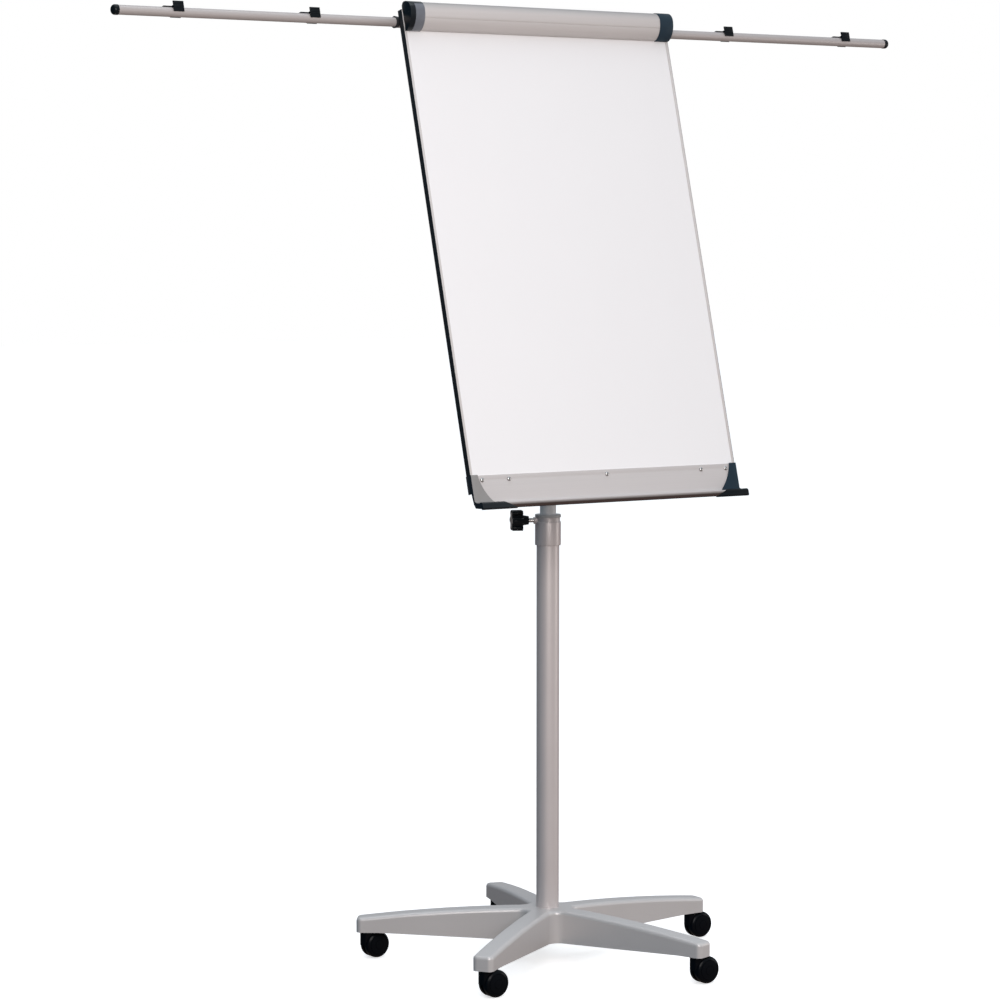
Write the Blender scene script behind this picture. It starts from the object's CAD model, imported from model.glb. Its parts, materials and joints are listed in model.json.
import json
import math
import bpy
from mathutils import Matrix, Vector


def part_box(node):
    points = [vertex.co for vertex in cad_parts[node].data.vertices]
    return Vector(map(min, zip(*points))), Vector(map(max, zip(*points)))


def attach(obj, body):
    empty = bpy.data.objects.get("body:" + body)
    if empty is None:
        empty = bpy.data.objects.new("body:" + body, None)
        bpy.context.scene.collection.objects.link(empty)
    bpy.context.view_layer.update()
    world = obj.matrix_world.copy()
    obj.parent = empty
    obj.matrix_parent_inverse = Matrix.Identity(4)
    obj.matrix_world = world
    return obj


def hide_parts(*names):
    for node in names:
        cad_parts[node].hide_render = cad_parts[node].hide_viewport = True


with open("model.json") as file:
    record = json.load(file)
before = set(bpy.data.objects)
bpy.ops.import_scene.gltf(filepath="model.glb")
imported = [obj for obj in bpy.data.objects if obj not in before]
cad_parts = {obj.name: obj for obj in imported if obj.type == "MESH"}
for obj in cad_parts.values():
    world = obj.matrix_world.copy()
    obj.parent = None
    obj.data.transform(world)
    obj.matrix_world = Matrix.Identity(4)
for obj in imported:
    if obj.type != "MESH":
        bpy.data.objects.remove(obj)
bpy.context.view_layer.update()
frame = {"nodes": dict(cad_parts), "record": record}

scene = bpy.context.scene
nodes = frame["nodes"]
print("frame loaded:", len(nodes), "nodes")

camera = {"place": (-4.1183, -5.8607, 1.5844), "heading": 34.2525, "down": 4.49, "lens": 117.72, "sensor": 36}
studio = {
    "floorSize": 80, "floorColour": (0.90, 0.90, 0.90), "floorGlow": 0.62,
    "keyPlace": (-1.7, -3.6, 2.3), "keySize": (2.4, 2.4),
    "keyPower": 96, "keyColour": (1.0, 0.955, 0.93),
    "topPlace": (-0.4, -0.4, 5.6), "topSize": (3.5, 3.0),
    "topPower": 48, "topColour": (0.90, 0.96, 1.0),
    "sidePlace": (4.4, -2.6, 1.2), "sideSize": (1.6, 2.4),
    "sidePower": 26, "sideColour": (1.0, 0.96, 0.93),
    "skyHigh": (0.76, 0.83, 0.90), "skyLow": (0.33, 0.275, 0.255), "shade": (0.045, 0.10, 0.15),
    "skyStrength": 0.74, "skyFrom": -0.25, "skyTo": 0.6,
    "flagWay": (-0.93, 0.36, 0.0), "flagFrom": 0.30, "flagTo": 0.80,
}


def makeCamera():
    data = bpy.data.cameras.new("easelCamera")
    data.lens = camera["lens"]
    data.sensor_width = camera["sensor"]
    data.clip_end = 200
    viewer = bpy.data.objects.new("easelCamera", data)
    scene.collection.objects.link(viewer)
    viewer.location = camera["place"]
    viewer.rotation_euler = (math.radians(90 - camera["down"]), 0, math.radians(-camera["heading"]))
    scene.camera = viewer


def areaLight(name, place, size, power, colour, aim=(0, 0, 1.2)):
    data = bpy.data.lights.new(name, "AREA")
    data.shape = "RECTANGLE"
    data.size, data.size_y = size
    data.energy = power
    data.color = colour
    lamp = bpy.data.objects.new(name, data)
    scene.collection.objects.link(lamp)
    lamp.location = place
    lamp.rotation_euler = (Vector(aim) - Vector(place)).to_track_quat("-Z", "Y").to_euler()


def makeWorld():
    world = bpy.data.worlds.new("studioWorld")
    scene.world = world
    world.use_nodes = True
    tree = world.node_tree
    tree.nodes.clear()
    put, join = tree.nodes.new, tree.links.new
    coords = put("ShaderNodeTexCoord")
    split = put("ShaderNodeSeparateXYZ")
    join(coords.outputs["Generated"], split.inputs[0])
    height = put("ShaderNodeMapRange")  # floor to zenith
    height.inputs["From Min"].default_value = studio["skyFrom"]
    height.inputs["From Max"].default_value = studio["skyTo"]
    join(split.outputs["Z"], height.inputs["Value"])
    sky = put("ShaderNodeMix")
    sky.data_type = "RGBA"
    sky.inputs["A"].default_value = (*studio["skyLow"], 1)
    sky.inputs["B"].default_value = (*studio["skyHigh"], 1)
    join(height.outputs["Result"], sky.inputs["Factor"])
    side = put("ShaderNodeVectorMath")  # a dark flag at the left of the set
    side.operation = "DOT_PRODUCT"
    side.inputs[1].default_value = studio["flagWay"]
    join(coords.outputs["Generated"], side.inputs[0])
    flag = put("ShaderNodeMapRange")
    flag.interpolation_type = "SMOOTHSTEP"
    flag.inputs["From Min"].default_value = studio["flagFrom"]
    flag.inputs["From Max"].default_value = studio["flagTo"]
    join(side.outputs["Value"], flag.inputs["Value"])
    shaded = put("ShaderNodeMix")
    shaded.data_type = "RGBA"
    shaded.inputs["B"].default_value = (*studio["shade"], 1)
    join(flag.outputs["Result"], shaded.inputs["Factor"])
    join(sky.outputs["Result"], shaded.inputs["A"])
    lit = put("ShaderNodeBackground")
    lit.inputs["Strength"].default_value = studio["skyStrength"]
    join(shaded.outputs["Result"], lit.inputs["Color"])
    plain = put("ShaderNodeBackground")
    plain.inputs["Color"].default_value = (1, 1, 1, 1)
    seen = put("ShaderNodeLightPath")
    mix = put("ShaderNodeMixShader")
    join(seen.outputs["Is Camera Ray"], mix.inputs[0])
    join(lit.outputs[0], mix.inputs[1])
    join(plain.outputs[0], mix.inputs[2])
    out = put("ShaderNodeOutputWorld")
    join(mix.outputs[0], out.inputs[0])


def makeFloor():
    bpy.ops.object.select_all(action="DESELECT")
    bpy.ops.mesh.primitive_plane_add(size=studio["floorSize"], location=(0, 0, -0.001))
    floor = bpy.context.object
    floor.name = "floor"
    paint = bpy.data.materials.new("floorPaint")
    paint.use_nodes = True
    shader = paint.node_tree.nodes["Principled BSDF"]
    shader.inputs["Base Color"].default_value = (*studio["floorColour"], 1)
    shader.inputs["Roughness"].default_value = 0.9
    shader.inputs["Emission Color"].default_value = (1, 1, 1, 1)
    shader.inputs["Emission Strength"].default_value = studio["floorGlow"]  # far floor as pale as near
    floor.data.materials.append(paint)
    floor.visible_glossy = False
    floor.visible_diffuse = False  # the low sky stands for the bounce, so undersides stay dark


makeCamera()
makeWorld()
for lamp in ("key", "top", "side"):
    areaLight(lamp + "Light", *(studio[lamp + fact] for fact in ("Place", "Size", "Power", "Colour")))
makeFloor()
scene.view_settings.view_transform = "Standard"
print("studio ready")


def newGroup(name, inputs, outputs):
    group = bpy.data.node_groups.new(name, "ShaderNodeTree")
    for label, start in inputs:
        socket = group.interface.new_socket(label, in_out="INPUT", socket_type="NodeSocketFloat")
        socket.default_value = start
    for label in outputs:
        group.interface.new_socket(label, in_out="OUTPUT", socket_type="NodeSocketFloat")
    source = group.nodes.new("NodeGroupInput")
    sink = group.nodes.new("NodeGroupOutput")
    return group, source, sink


def noiseNode(group, vector, scale, detail, rough=0.5):
    noise = group.nodes.new("ShaderNodeTexNoise")
    noise.inputs["Detail"].default_value = detail
    noise.inputs["Roughness"].default_value = rough
    group.links.new(vector, noise.inputs["Vector"])
    if isinstance(scale, (int, float)):
        noise.inputs["Scale"].default_value = scale
    else:
        group.links.new(scale, noise.inputs["Scale"])
    return noise.outputs["Fac"]


def mathNode(group, operation, first, second=None, clamp=False):
    node = group.nodes.new("ShaderNodeMath")
    node.operation = operation
    node.use_clamp = clamp
    for slot, value in ((0, first), (1, second)):
        if value is None:
            continue
        if isinstance(value, (int, float)):
            node.inputs[slot].default_value = value
        else:
            group.links.new(value, node.inputs[slot])
    return node.outputs[0]


def rampNode(group, value, low, high):
    ramp = group.nodes.new("ShaderNodeMapRange")
    ramp.interpolation_type = "SMOOTHSTEP"
    ramp.inputs["From Min"].default_value = low
    ramp.inputs["From Max"].default_value = high
    group.links.new(value, ramp.inputs["Value"])
    return ramp.outputs["Result"]


def objectCoords(group):
    return group.nodes.new("ShaderNodeTexCoord").outputs["Object"]


def makeGrain():
    inputs = [("Scale", 900.0), ("Patch Scale", 9.0)]
    group, source, sink = newGroup("grain", inputs, ["Height", "Patches"])
    where = objectCoords(group)
    group.links.new(noiseNode(group, where, source.outputs["Scale"], 3), sink.inputs["Height"])
    group.links.new(noiseNode(group, where, source.outputs["Patch Scale"], 4, 0.6), sink.inputs["Patches"])
    return group


def makeStreaks():
    group, source, sink = newGroup("streaks", [("Along", 3.0), ("Across", 900.0)], ["Lines", "Height"])
    where = objectCoords(group)
    stretch = group.nodes.new("ShaderNodeCombineXYZ")
    group.links.new(source.outputs["Along"], stretch.inputs["X"])
    group.links.new(source.outputs["Across"], stretch.inputs["Y"])
    group.links.new(source.outputs["Across"], stretch.inputs["Z"])
    scaled = group.nodes.new("ShaderNodeVectorMath")
    scaled.operation = "MULTIPLY"
    group.links.new(where, scaled.inputs[0])
    group.links.new(stretch.outputs[0], scaled.inputs[1])
    lines = noiseNode(group, scaled.outputs[0], 1.0, 2)
    group.links.new(lines, sink.inputs["Lines"])
    group.links.new(lines, sink.inputs["Height"])
    return group


def makeDust():
    group, source, sink = newGroup("dust", [("Amount", 0.5), ("Scale", 60.0)], ["Mask"])
    facing = group.nodes.new("ShaderNodeNewGeometry")
    split = group.nodes.new("ShaderNodeSeparateXYZ")
    group.links.new(facing.outputs["Normal"], split.inputs[0])
    up = rampNode(group, split.outputs["Z"], 0.35, 0.95)
    cloud = noiseNode(group, objectCoords(group), source.outputs["Scale"], 6, 0.7)
    specks = rampNode(group, cloud, 0.42, 0.72)
    both = mathNode(group, "MULTIPLY", up, specks)
    group.links.new(mathNode(group, "MULTIPLY", both, source.outputs["Amount"], True), sink.inputs["Mask"])
    return group


def makeScuffs():
    group, source, sink = newGroup("scuffs", [("Amount", 0.5), ("Scale", 30.0)], ["Mask"])
    where = objectCoords(group)
    bend = group.nodes.new("ShaderNodeVectorMath")
    bend.operation = "MULTIPLY"
    bend.inputs[1].default_value = (1.0, 1.0, 7.0)
    group.links.new(where, bend.inputs[0])
    fine = noiseNode(group, bend.outputs[0], source.outputs["Scale"], 8, 0.75)
    scratches = rampNode(group, fine, 0.60, 0.70)
    zones = rampNode(group, noiseNode(group, where, 7.0, 2), 0.48, 0.66)
    both = mathNode(group, "MULTIPLY", scratches, zones)
    group.links.new(mathNode(group, "MULTIPLY", both, source.outputs["Amount"], True), sink.inputs["Mask"])
    return group


def makeBand():
    inputs = [("X", 0.0), ("Y", 0.0), ("Z", 1.0), ("From", 0.0), ("To", 1.0)]
    group, source, sink = newGroup("band", inputs, ["Mask"])
    way = group.nodes.new("ShaderNodeCombineXYZ")
    for label in "XYZ":
        group.links.new(source.outputs[label], way.inputs[label])
    reach = group.nodes.new("ShaderNodeVectorMath")
    reach.operation = "DOT_PRODUCT"
    group.links.new(objectCoords(group), reach.inputs[0])
    group.links.new(way.outputs[0], reach.inputs[1])
    ramp = group.nodes.new("ShaderNodeMapRange")
    group.links.new(reach.outputs["Value"], ramp.inputs["Value"])
    group.links.new(source.outputs["From"], ramp.inputs["From Min"])
    group.links.new(source.outputs["To"], ramp.inputs["From Max"])
    group.links.new(ramp.outputs["Result"], sink.inputs["Mask"])
    return group


grain, streaks, dust, scuffs, band = makeGrain(), makeStreaks(), makeDust(), makeScuffs(), makeBand()


def startMaterial(name):
    material = bpy.data.materials.new(name)
    material.use_nodes = True
    tree = material.node_tree
    return material, tree, tree.nodes["Principled BSDF"]


def useGroup(tree, group, **values):
    node = tree.nodes.new("ShaderNodeGroup")
    node.node_tree = group
    for label, value in values.items():
        node.inputs[label].default_value = value
    return node


def blendColour(tree, factor, first, second):
    mix = tree.nodes.new("ShaderNodeMix")
    mix.data_type = "RGBA"
    tree.links.new(factor, mix.inputs["Factor"])
    for label, value in (("A", first), ("B", second)):
        if isinstance(value, tuple):
            mix.inputs[label].default_value = (*value, 1)
        else:
            tree.links.new(value, mix.inputs[label])
    return mix.outputs["Result"]


def blendValue(tree, factor, low, high):
    ramp = tree.nodes.new("ShaderNodeMapRange")
    ramp.inputs["To Min"].default_value = low
    ramp.inputs["To Max"].default_value = high
    tree.links.new(factor, ramp.inputs["Value"])
    return ramp.outputs["Result"]


def addBands(tree, colour, bands):
    for way, start, end, tone in bands:
        node = useGroup(tree, band, X=way[0], Y=way[1], Z=way[2], From=start, To=end)
        colour = blendColour(tree, node.outputs["Mask"], colour, tone)
    return colour


def addBump(tree, shader, height, strength, distance):
    bump = tree.nodes.new("ShaderNodeBump")
    bump.inputs["Strength"].default_value = strength
    bump.inputs["Distance"].default_value = distance
    tree.links.new(height, bump.inputs["Height"])
    tree.links.new(bump.outputs[0], shader.inputs["Normal"])


dustTone = (0.62, 0.60, 0.57)
greyDust = (0.30, 0.30, 0.30)


def paintedMetal(name, look):
    material, tree, shader = startMaterial(name)
    skin = useGroup(tree, grain, **{"Scale": look["grain"], "Patch Scale": 7.0})
    colour = blendColour(tree, skin.outputs["Patches"], look["dark"], look["light"])
    dusty = useGroup(tree, dust, Amount=look["dust"], Scale=70.0)
    colour = blendColour(tree, dusty.outputs["Mask"], colour, dustTone)
    worn = useGroup(tree, scuffs, Amount=look["wear"], Scale=34.0)
    colour = blendColour(tree, worn.outputs["Mask"], colour, look["scuff"])
    tree.links.new(colour, shader.inputs["Base Color"])
    tree.links.new(blendValue(tree, skin.outputs["Patches"], *look["rough"]), shader.inputs["Roughness"])
    shader.inputs["Metallic"].default_value = look["metal"]
    shader.inputs["Specular IOR Level"].default_value = look["specular"]
    shader.inputs["Coat Weight"].default_value = look["coat"]
    shader.inputs["Coat Roughness"].default_value = 0.25
    addBump(tree, shader, skin.outputs["Height"], look["bump"], 0.0002)
    return material


def drawnMetal(name, look):
    material, tree, shader = startMaterial(name)
    lines = useGroup(tree, streaks, Along=look["along"], Across=look["across"])
    skin = useGroup(tree, grain, **{"Scale": 1400.0, "Patch Scale": 5.0})
    colour = blendColour(tree, lines.outputs["Lines"], look["dark"], look["light"])
    worn = useGroup(tree, scuffs, Amount=look["wear"], Scale=40.0)
    colour = blendColour(tree, worn.outputs["Mask"], colour, look["scuff"])
    colour = addBands(tree, colour, look.get("bands", ()))
    tree.links.new(colour, shader.inputs["Base Color"])
    tree.links.new(blendValue(tree, skin.outputs["Patches"], *look["rough"]), shader.inputs["Roughness"])
    shader.inputs["Metallic"].default_value = look["metal"]
    shader.inputs["Specular IOR Level"].default_value = look["specular"]
    addBump(tree, shader, lines.outputs["Height"], look["bump"], 0.0001)
    return material


def mouldedPlastic(name, look):
    material, tree, shader = startMaterial(name)
    skin = useGroup(tree, grain, **{"Scale": look["grain"], "Patch Scale": 30.0})
    colour = blendColour(tree, skin.outputs["Patches"], look["dark"], look["light"])
    dusty = useGroup(tree, dust, Amount=look["dust"], Scale=110.0)
    colour = blendColour(tree, dusty.outputs["Mask"], colour, greyDust)
    colour = addBands(tree, colour, look.get("bands", ()))
    tree.links.new(colour, shader.inputs["Base Color"])
    tree.links.new(blendValue(tree, skin.outputs["Patches"], *look["rough"]), shader.inputs["Roughness"])
    shader.inputs["Specular IOR Level"].default_value = look["specular"]
    addBump(tree, shader, skin.outputs["Height"], look["bump"], 0.0002)
    return material


basePaint = paintedMetal("basePaint", {
    "grain": 700.0, "dark": (0.60, 0.58, 0.575), "light": (0.65, 0.63, 0.625), "scuff": (0.44, 0.43, 0.42),
    "dust": 0.10, "wear": 0.20, "rough": (0.30, 0.42),
    "metal": 0.25, "specular": 0.5, "coat": 0.15, "bump": 0.12})
mastPaint = paintedMetal("mastPaint", {
    "grain": 800.0, "dark": (0.64, 0.585, 0.575), "light": (0.69, 0.635, 0.625), "scuff": (0.52, 0.48, 0.47),
    "dust": 0.0, "wear": 0.15, "rough": (0.32, 0.42),
    "metal": 0.3, "specular": 0.5, "coat": 0.1, "bump": 0.10})

board = {"lean": 15.0, "standoff": 0.108, "up": 0.5316}
joints = {joint["name"]: joint for joint in frame["record"]["behaviour"]["joints"]}
leanSine = math.sin(math.radians(board["lean"]))
leanCosine = math.cos(math.radians(board["lean"]))
outward = Vector((0, -leanCosine, leanSine))  # out of the board's face
upward = Vector((0, leanSine, leanCosine))  # up along the board
leftward = Vector((-1, 0, 0))
pivot = Vector(joints["board_tilt"]["pos_m"])
datum = pivot + outward * board["standoff"] - upward * board["up"]  # tray end of the board's face
datumUp = datum.dot(upward)


def belowBand(start, end, tone):
    return (-upward, -datumUp - start, -datumUp - end, tone)


def aboveBand(start, end, tone):
    return (upward, datumUp + start, datumUp + end, tone)


railMetal = drawnMetal("railMetal", {
    "along": 2.0, "across": 1300.0, "dark": (0.56, 0.525, 0.515), "light": (0.62, 0.585, 0.575),
    "scuff": (0.50, 0.47, 0.46),
    "wear": 0.1, "rough": (0.42, 0.54), "metal": 0.05, "specular": 0.25, "bump": 0.08})
trayMetal = drawnMetal("trayMetal", {
    "along": 2.0, "across": 1300.0, "dark": (0.53, 0.50, 0.495), "light": (0.58, 0.55, 0.545),
    "scuff": (0.47, 0.44, 0.43),
    "wear": 0.1, "rough": (0.46, 0.58), "metal": 0.0, "specular": 0.15, "bump": 0.06,
    "bands": (belowBand(0.0415, 0.0345, (0.040, 0.024, 0.020)),)})  # the lip's own face falls into shade
clampMetal = drawnMetal("clampMetal", {
    "along": 2.0, "across": 1300.0, "dark": (0.57, 0.535, 0.525), "light": (0.63, 0.595, 0.585),
    "scuff": (0.50, 0.47, 0.46),
    "wear": 0.1, "rough": (0.42, 0.54), "metal": 0.05, "specular": 0.25, "bump": 0.08,
    "bands": (aboveBand(1.108, 1.132, (0.30, 0.285, 0.28)),)})
sideMetal = drawnMetal("sideMetal", {
    "along": 2.0, "across": 1300.0, "dark": (0.60, 0.57, 0.56), "light": (0.68, 0.65, 0.64),
    "scuff": (0.50, 0.47, 0.46),
    "wear": 0.1, "rough": (0.42, 0.54), "metal": 0.05, "specular": 0.2, "bump": 0.08,
    "bands": tuple((way, 0.3488, 0.3494, (0.012, 0.016, 0.020)) for way in (leftward, -leftward))})
tubeMetal = drawnMetal("tubeMetal", {
    "along": 1.5, "across": 1000.0, "dark": (0.46, 0.42, 0.41), "light": (0.54, 0.50, 0.49),
    "scuff": (0.34, 0.32, 0.31),
    "wear": 0.2, "rough": (0.34, 0.46), "metal": 0.25, "specular": 0.4, "bump": 0.10})
steel = drawnMetal("platedSteel", {
    "along": 60.0, "across": 400.0, "dark": (0.50, 0.49, 0.48), "light": (0.60, 0.59, 0.58),
    "scuff": (0.4, 0.4, 0.4),
    "wear": 0.3, "rough": (0.14, 0.26), "metal": 1.0, "specular": 0.5, "bump": 0.06})
brass = drawnMetal("brassSlug", {
    "along": 60.0, "across": 500.0, "dark": (0.55, 0.40, 0.17), "light": (0.66, 0.50, 0.24),
    "scuff": (0.3, 0.22, 0.1),
    "wear": 0.3, "rough": (0.25, 0.4), "metal": 1.0, "specular": 0.5, "bump": 0.08})
glossBlack = mouldedPlastic("glossBlack", {
    "grain": 500.0, "dark": (0.004, 0.006, 0.008), "light": (0.008, 0.011, 0.014), "dust": 0.02,
    "rough": (0.12, 0.22), "specular": 0.16, "bump": 0.04})
trayCapGrey = mouldedPlastic("trayCapGrey", {
    "grain": 500.0, "dark": (0.26, 0.25, 0.245), "light": (0.29, 0.28, 0.275), "dust": 0.0,
    "rough": (0.18, 0.25), "specular": 0.35, "bump": 0.04,
    "bands": (belowBand(0.047, 0.044, (0.006, 0.009, 0.012)),
              (leftward, 0.3497, 0.3502, (0.010, 0.013, 0.017)))})
clampCapGrey = mouldedPlastic("clampCapGrey", {
    "grain": 500.0, "dark": (0.15, 0.16, 0.185), "light": (0.17, 0.18, 0.205), "dust": 0.0,
    "rough": (0.18, 0.25), "specular": 0.35, "bump": 0.04,
    "bands": (aboveBand(1.121, 1.1225, (0.006, 0.009, 0.012)),
              (leftward, 0.3345, 0.3355, (0.006, 0.009, 0.012)))})
tealBlack = mouldedPlastic("tealBlack", {
    "grain": 500.0, "dark": (0.020, 0.036, 0.052), "light": (0.026, 0.044, 0.062), "dust": 0.0,
    "rough": (0.40, 0.52), "specular": 0.12, "bump": 0.04})
trayCapTeal = mouldedPlastic("trayCapTeal", {
    "grain": 500.0, "dark": (0.013, 0.028, 0.042), "light": (0.018, 0.034, 0.050), "dust": 0.0,
    "rough": (0.40, 0.52), "specular": 0.12, "bump": 0.04,
    "bands": (belowBand(0.047, 0.044, (0.003, 0.005, 0.007)),)})
innerTube = drawnMetal("innerTube", {
    "along": 900.0, "across": 6.0, "dark": (0.80, 0.80, 0.80), "light": (0.88, 0.88, 0.88),
    "scuff": (0.66, 0.66, 0.66),
    "wear": 0.2, "rough": (0.28, 0.38), "metal": 0.0, "specular": 0.5, "bump": 0.04})
tyreBlack = mouldedPlastic("castorBlack", {
    "grain": 900.0, "dark": (0.0015, 0.0025, 0.004), "light": (0.003, 0.004, 0.006), "dust": 0.01,
    "rough": (0.16, 0.26), "specular": 0.10, "bump": 0.05})
greyBush = mouldedPlastic("greyBush", {
    "grain": 900.0, "dark": (0.42, 0.42, 0.42), "light": (0.50, 0.50, 0.50), "dust": 0.1,
    "rough": (0.40, 0.55), "specular": 0.4, "bump": 0.15})
darkBush = mouldedPlastic("darkBush", {
    "grain": 900.0, "dark": (0.02, 0.022, 0.025), "light": (0.03, 0.032, 0.036), "dust": 0.1,
    "rough": (0.35, 0.5), "specular": 0.4, "bump": 0.15})
boardWhite = paintedMetal("boardWhite", {
    "grain": 260.0, "dark": (0.885, 0.87, 0.877), "light": (0.90, 0.885, 0.892), "scuff": (0.83, 0.82, 0.825),
    "dust": 0.0, "wear": 0.02, "rough": (0.31, 0.37),
    "metal": 0.0, "specular": 0.4, "coat": 0.3, "bump": 0.02})
backSheet = paintedMetal("backSheet", {
    "grain": 120.0, "dark": (0.40, 0.41, 0.42), "light": (0.52, 0.53, 0.54), "scuff": (0.34, 0.34, 0.34),
    "dust": 0.0, "wear": 0.4, "rough": (0.35, 0.55),
    "metal": 0.6, "specular": 0.5, "coat": 0.0, "bump": 0.08})
coreBoard = mouldedPlastic("coreBoard", {
    "grain": 400.0, "dark": (0.40, 0.30, 0.20), "light": (0.52, 0.41, 0.28), "dust": 0.0,
    "rough": (0.8, 0.9), "specular": 0.2, "bump": 0.5})
print("materials ready")

slotLooks = {
    "base_paint": basePaint, "mast_paint": mastPaint, "rail_metal": railMetal, "steel": steel, "brass": brass,
    "black_plastic": glossBlack, "bush_plastic": greyBush, "dark_bush": darkBush, "board_white": boardWhite,
    "board_core": coreBoard, "back_steel": backSheet,
}
record = frame["record"]
slotOf = {row["node"]: row["material_slot"] for row in record["subparts"]}
bodyOf = {node: body for body, members in record["behaviour"]["bodies"].items() for node in members}
ownLooks = {
    "arm_left": tubeMetal, "arm_right": tubeMetal, "arm_guide": tubeMetal, "pen_tray": trayMetal,
    "frame_left": sideMetal, "frame_right": sideMetal, "tray_cap_left": trayCapGrey,
    "tray_cap_right": trayCapTeal, "clamp_cap_left": clampCapGrey, "clamp_cap_right": tealBlack,
    "inner_mast": innerTube, "clamp_bar": clampMetal,
}


def lookOf(name):
    if name.startswith("castor_") and (name.endswith("hood") or name.endswith("wheels")):
        return tyreBlack
    return ownLooks.get(name, slotLooks[slotOf[name]])


for name, node in nodes.items():
    node.data.materials.clear()
    node.data.materials.append(lookOf(name))
print("CAD nodes painted")


mend = {"pieceGap": 0.000002, "copyGap": 0.000005, "flatDegrees": 0.5, "facing": 0.9}


def finishPiece(piece, name, node, smooth):
    piece.name = name
    piece.data.materials.clear()
    piece.data.materials.append(lookOf(node))
    bpy.ops.object.select_all(action="DESELECT")
    piece.select_set(True)
    bpy.context.view_layer.objects.active = piece
    bpy.ops.object.transform_apply(location=True, rotation=True, scale=True)
    bpy.ops.object.mode_set(mode="EDIT")
    bpy.ops.mesh.select_all(action="SELECT")
    bpy.ops.mesh.remove_doubles(threshold=mend["pieceGap"])
    bpy.ops.mesh.normals_make_consistent(inside=False)
    bpy.ops.object.mode_set(mode="OBJECT")
    bpy.ops.object.shade_smooth_by_angle(angle=math.radians(smooth))
    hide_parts(node)
    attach(piece, bodyOf[node])


softening = {"steps": 2, "sharperThan": 40, "smooth": 32}


def applyBevel(piece, width):
    bevel = piece.modifiers.new("edges", "BEVEL")
    bevel.width = width
    bevel.segments = softening["steps"]
    bevel.limit_method = "ANGLE"
    bevel.angle_limit = math.radians(softening["sharperThan"])
    bpy.context.view_layer.objects.active = piece
    bpy.ops.object.modifier_apply(modifier=bevel.name)


def softCopy(node, width):
    source = nodes[node]
    piece = bpy.data.objects.new(node + "_soft", source.data.copy())
    piece.data.transform(source.matrix_world)
    scene.collection.objects.link(piece)
    bpy.ops.object.select_all(action="DESELECT")
    piece.select_set(True)
    bpy.context.view_layer.objects.active = piece
    bpy.ops.object.mode_set(mode="EDIT")
    bpy.ops.mesh.select_all(action="SELECT")
    bpy.ops.mesh.remove_doubles(threshold=mend["copyGap"])
    bpy.ops.mesh.dissolve_limited(angle_limit=math.radians(mend["flatDegrees"]))
    bpy.ops.object.mode_set(mode="OBJECT")
    applyBevel(piece, width)
    finishPiece(piece, node + "_soft", node, softening["smooth"])


softEdges = {  # bevel width of each node
    "mast_collar": 0.0008, "collar_bush": 0.0006, "lock_knob": 0.0022, "mast_head": 0.0006,
    "guide_plug": 0.0005,
    "pen_tray": 0.0003, "tray_cap_left": 0.0005, "tray_cap_right": 0.0005,
    "clamp_bar": 0.0003, "clamp_cap_left": 0.0005, "clamp_cap_right": 0.0005,
    "frame_left": 0.0003, "frame_right": 0.0003, "clamp_rail": 0.0003,
    "board_bracket": 0.0006, "tilt_lever": 0.0012, "tilt_nut": 0.0004, "tilt_bolt": 0.0004,
    "arm_guide": 0.0003, "arm_saddles": 0.0005, "arm_bushes": 0.0003,
    "hook_left": 0.0003, "hook_right": 0.0003,
    "clip_far_left": 0.0003, "clip_near_left": 0.0003, "clip_near_right": 0.0003, "clip_far_right": 0.0003,
}
castorCount = sum(name.endswith("_hood") for name in nodes)
softEdges.update({"castor_%d_hood" % number: 0.0005 for number in range(1, castorCount + 1)})
for name, width in softEdges.items():
    softCopy(name, width)
print("edges softened:", len(softEdges))

castor = {
    "wheelRadius": 0.0295, "innerFace": 0.0055, "treadWidth": 0.0055, "sides": 56, "smooth": 24,
    "dome": ((0.0006, 0.0024), (0.0016, 0.0022), (0.0023, 0.0016), (0.0025, 0.0010)),  # in, then outwards
    "groove": ((0.0005, -0.0010), (0.0009, 0.0), (0.0005, 0.0011)),
    "cover": ((0.0050, 0.0007), (0.0050, 0.0004)),
    "hub": ((0.0004, -0.0006), (0.0006, 0.0), (0.0004, 0.0008), (0.0030, 0.0003)),
}


def selectFaces(piece, test):
    bpy.ops.object.mode_set(mode="EDIT")
    bpy.ops.mesh.select_mode(type="FACE")
    bpy.ops.mesh.select_all(action="DESELECT")
    bpy.ops.object.mode_set(mode="OBJECT")
    for face in piece.data.polygons:
        face.select = test(face)
    bpy.ops.object.mode_set(mode="EDIT")


def castorWheel(place, side):
    bpy.ops.object.select_all(action="DESELECT")
    middle = castor["innerFace"] + castor["treadWidth"] / 2
    bpy.ops.mesh.primitive_cylinder_add(
        vertices=castor["sides"], radius=castor["wheelRadius"], depth=castor["treadWidth"],
        location=(place[0], place[1] + side * middle, castor["wheelRadius"]),
        rotation=(math.radians(90), 0, 0))
    wheel = bpy.context.object
    bpy.ops.object.transform_apply(location=True, rotation=True, scale=True)
    selectFaces(wheel, lambda face: face.normal.y * side > mend["facing"])
    for key in ("dome", "groove", "cover", "hub"):
        for inward, outward in castor[key]:
            bpy.ops.mesh.inset(thickness=inward, depth=outward)
    bpy.ops.object.mode_set(mode="OBJECT")
    return wheel


def joinPieces(pieces):
    bpy.ops.object.select_all(action="DESELECT")
    for piece in pieces:
        piece.select_set(True)
    bpy.context.view_layer.objects.active = pieces[0]
    bpy.ops.object.join()
    return bpy.context.object


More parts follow.
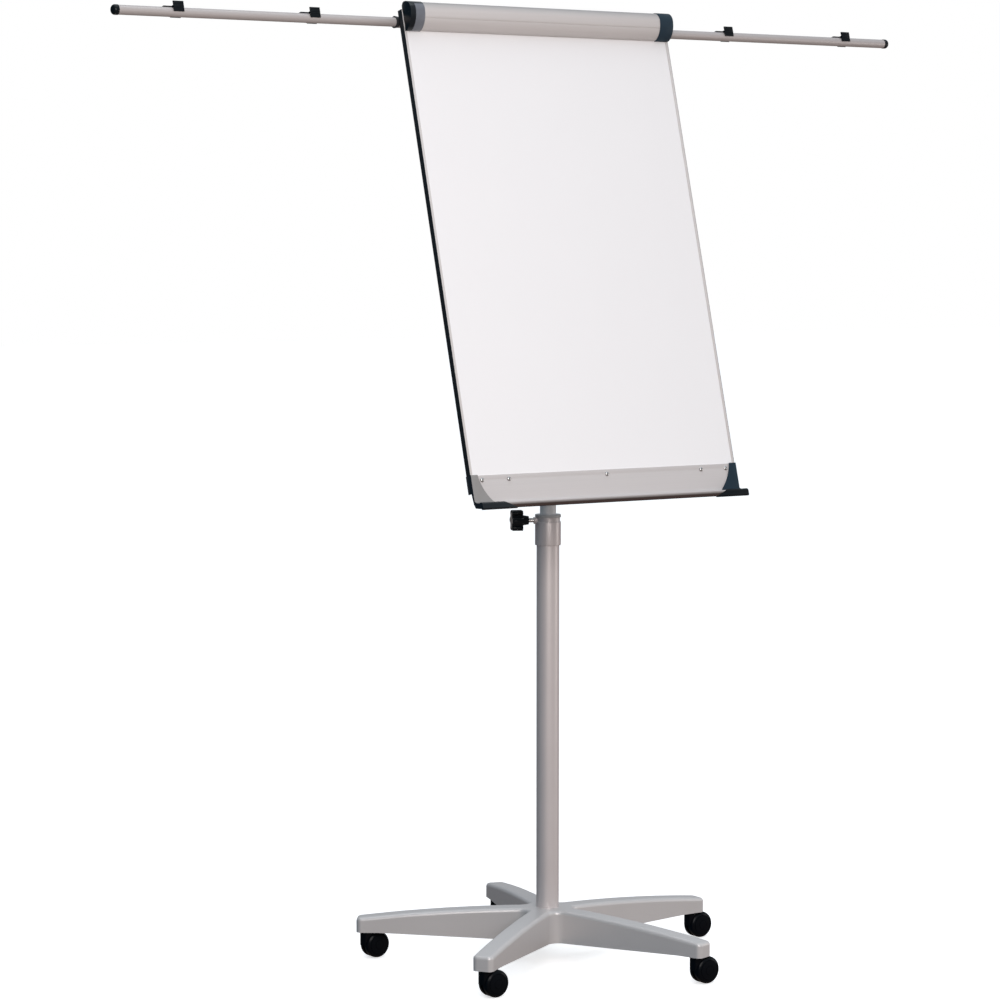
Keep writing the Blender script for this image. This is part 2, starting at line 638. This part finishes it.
for number in range(1, castorCount + 1):
    name = "castor_%d_wheels" % number
    low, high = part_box(name)
    place = ((low[0] + high[0]) / 2, (low[1] + high[1]) / 2)
    pair = joinPieces([castorWheel(place, side) for side in (-1, 1)])
    finishPiece(pair, "castor_%d_wheelPair" % number, name, castor["smooth"])
print("castor wheels made")

screw = {
    "headRadius": 0.0050, "sides": 32, "rim": 0.0008,
    "dome": ((0.0005, 0.0009), (0.0010, 0.0008), (0.0014, 0.0004)),
    "slotLength": 0.0044, "slotWidth": 0.0009, "slotDepth": 0.0013, "smooth": 30,
}


def screwHead(place, facing):
    bpy.ops.object.select_all(action="DESELECT")
    bpy.ops.mesh.primitive_cylinder_add(
        vertices=screw["sides"], radius=screw["headRadius"], depth=screw["rim"])
    head = bpy.context.object
    selectFaces(head, lambda face: face.normal.z > mend["facing"])
    for inward, outward in screw["dome"]:
        bpy.ops.mesh.inset(thickness=inward, depth=outward)
    bpy.ops.object.mode_set(mode="OBJECT")
    top = screw["rim"] / 2 + sum(outward for inward, outward in screw["dome"])
    for turn in (45, 135):
        bpy.ops.mesh.primitive_cube_add(size=1, location=(0, 0, top), rotation=(0, 0, math.radians(turn)))
        cutter = bpy.context.object
        cutter.scale = (screw["slotLength"], screw["slotWidth"], 2 * screw["slotDepth"])
        cut = head.modifiers.new("slot", "BOOLEAN")
        cut.operation = "DIFFERENCE"
        cut.object = cutter
        bpy.context.view_layer.objects.active = head
        bpy.ops.object.modifier_apply(modifier=cut.name)
        bpy.data.objects.remove(cutter)
    head.rotation_euler = facing.to_track_quat("Z", "Y").to_euler()
    head.location = place + facing * screw["rim"] / 2
    bpy.ops.object.select_all(action="DESELECT")
    head.select_set(True)
    bpy.context.view_layer.objects.active = head
    bpy.ops.object.transform_apply(location=True, rotation=True, scale=True)
    return head


trayScrews = {"across": (-0.322, -0.254, 0.0, 0.254, 0.322), "up": 0.095, "out": 0.002}
screwLine = datum + upward * trayScrews["up"] + outward * trayScrews["out"]
heads = [screwHead(screwLine + Vector((across, 0, 0)), outward) for across in trayScrews["across"]]
finishPiece(joinPieces(heads), "trayScrewHeads", "tray_screws", screw["smooth"])
print("tray screws made")
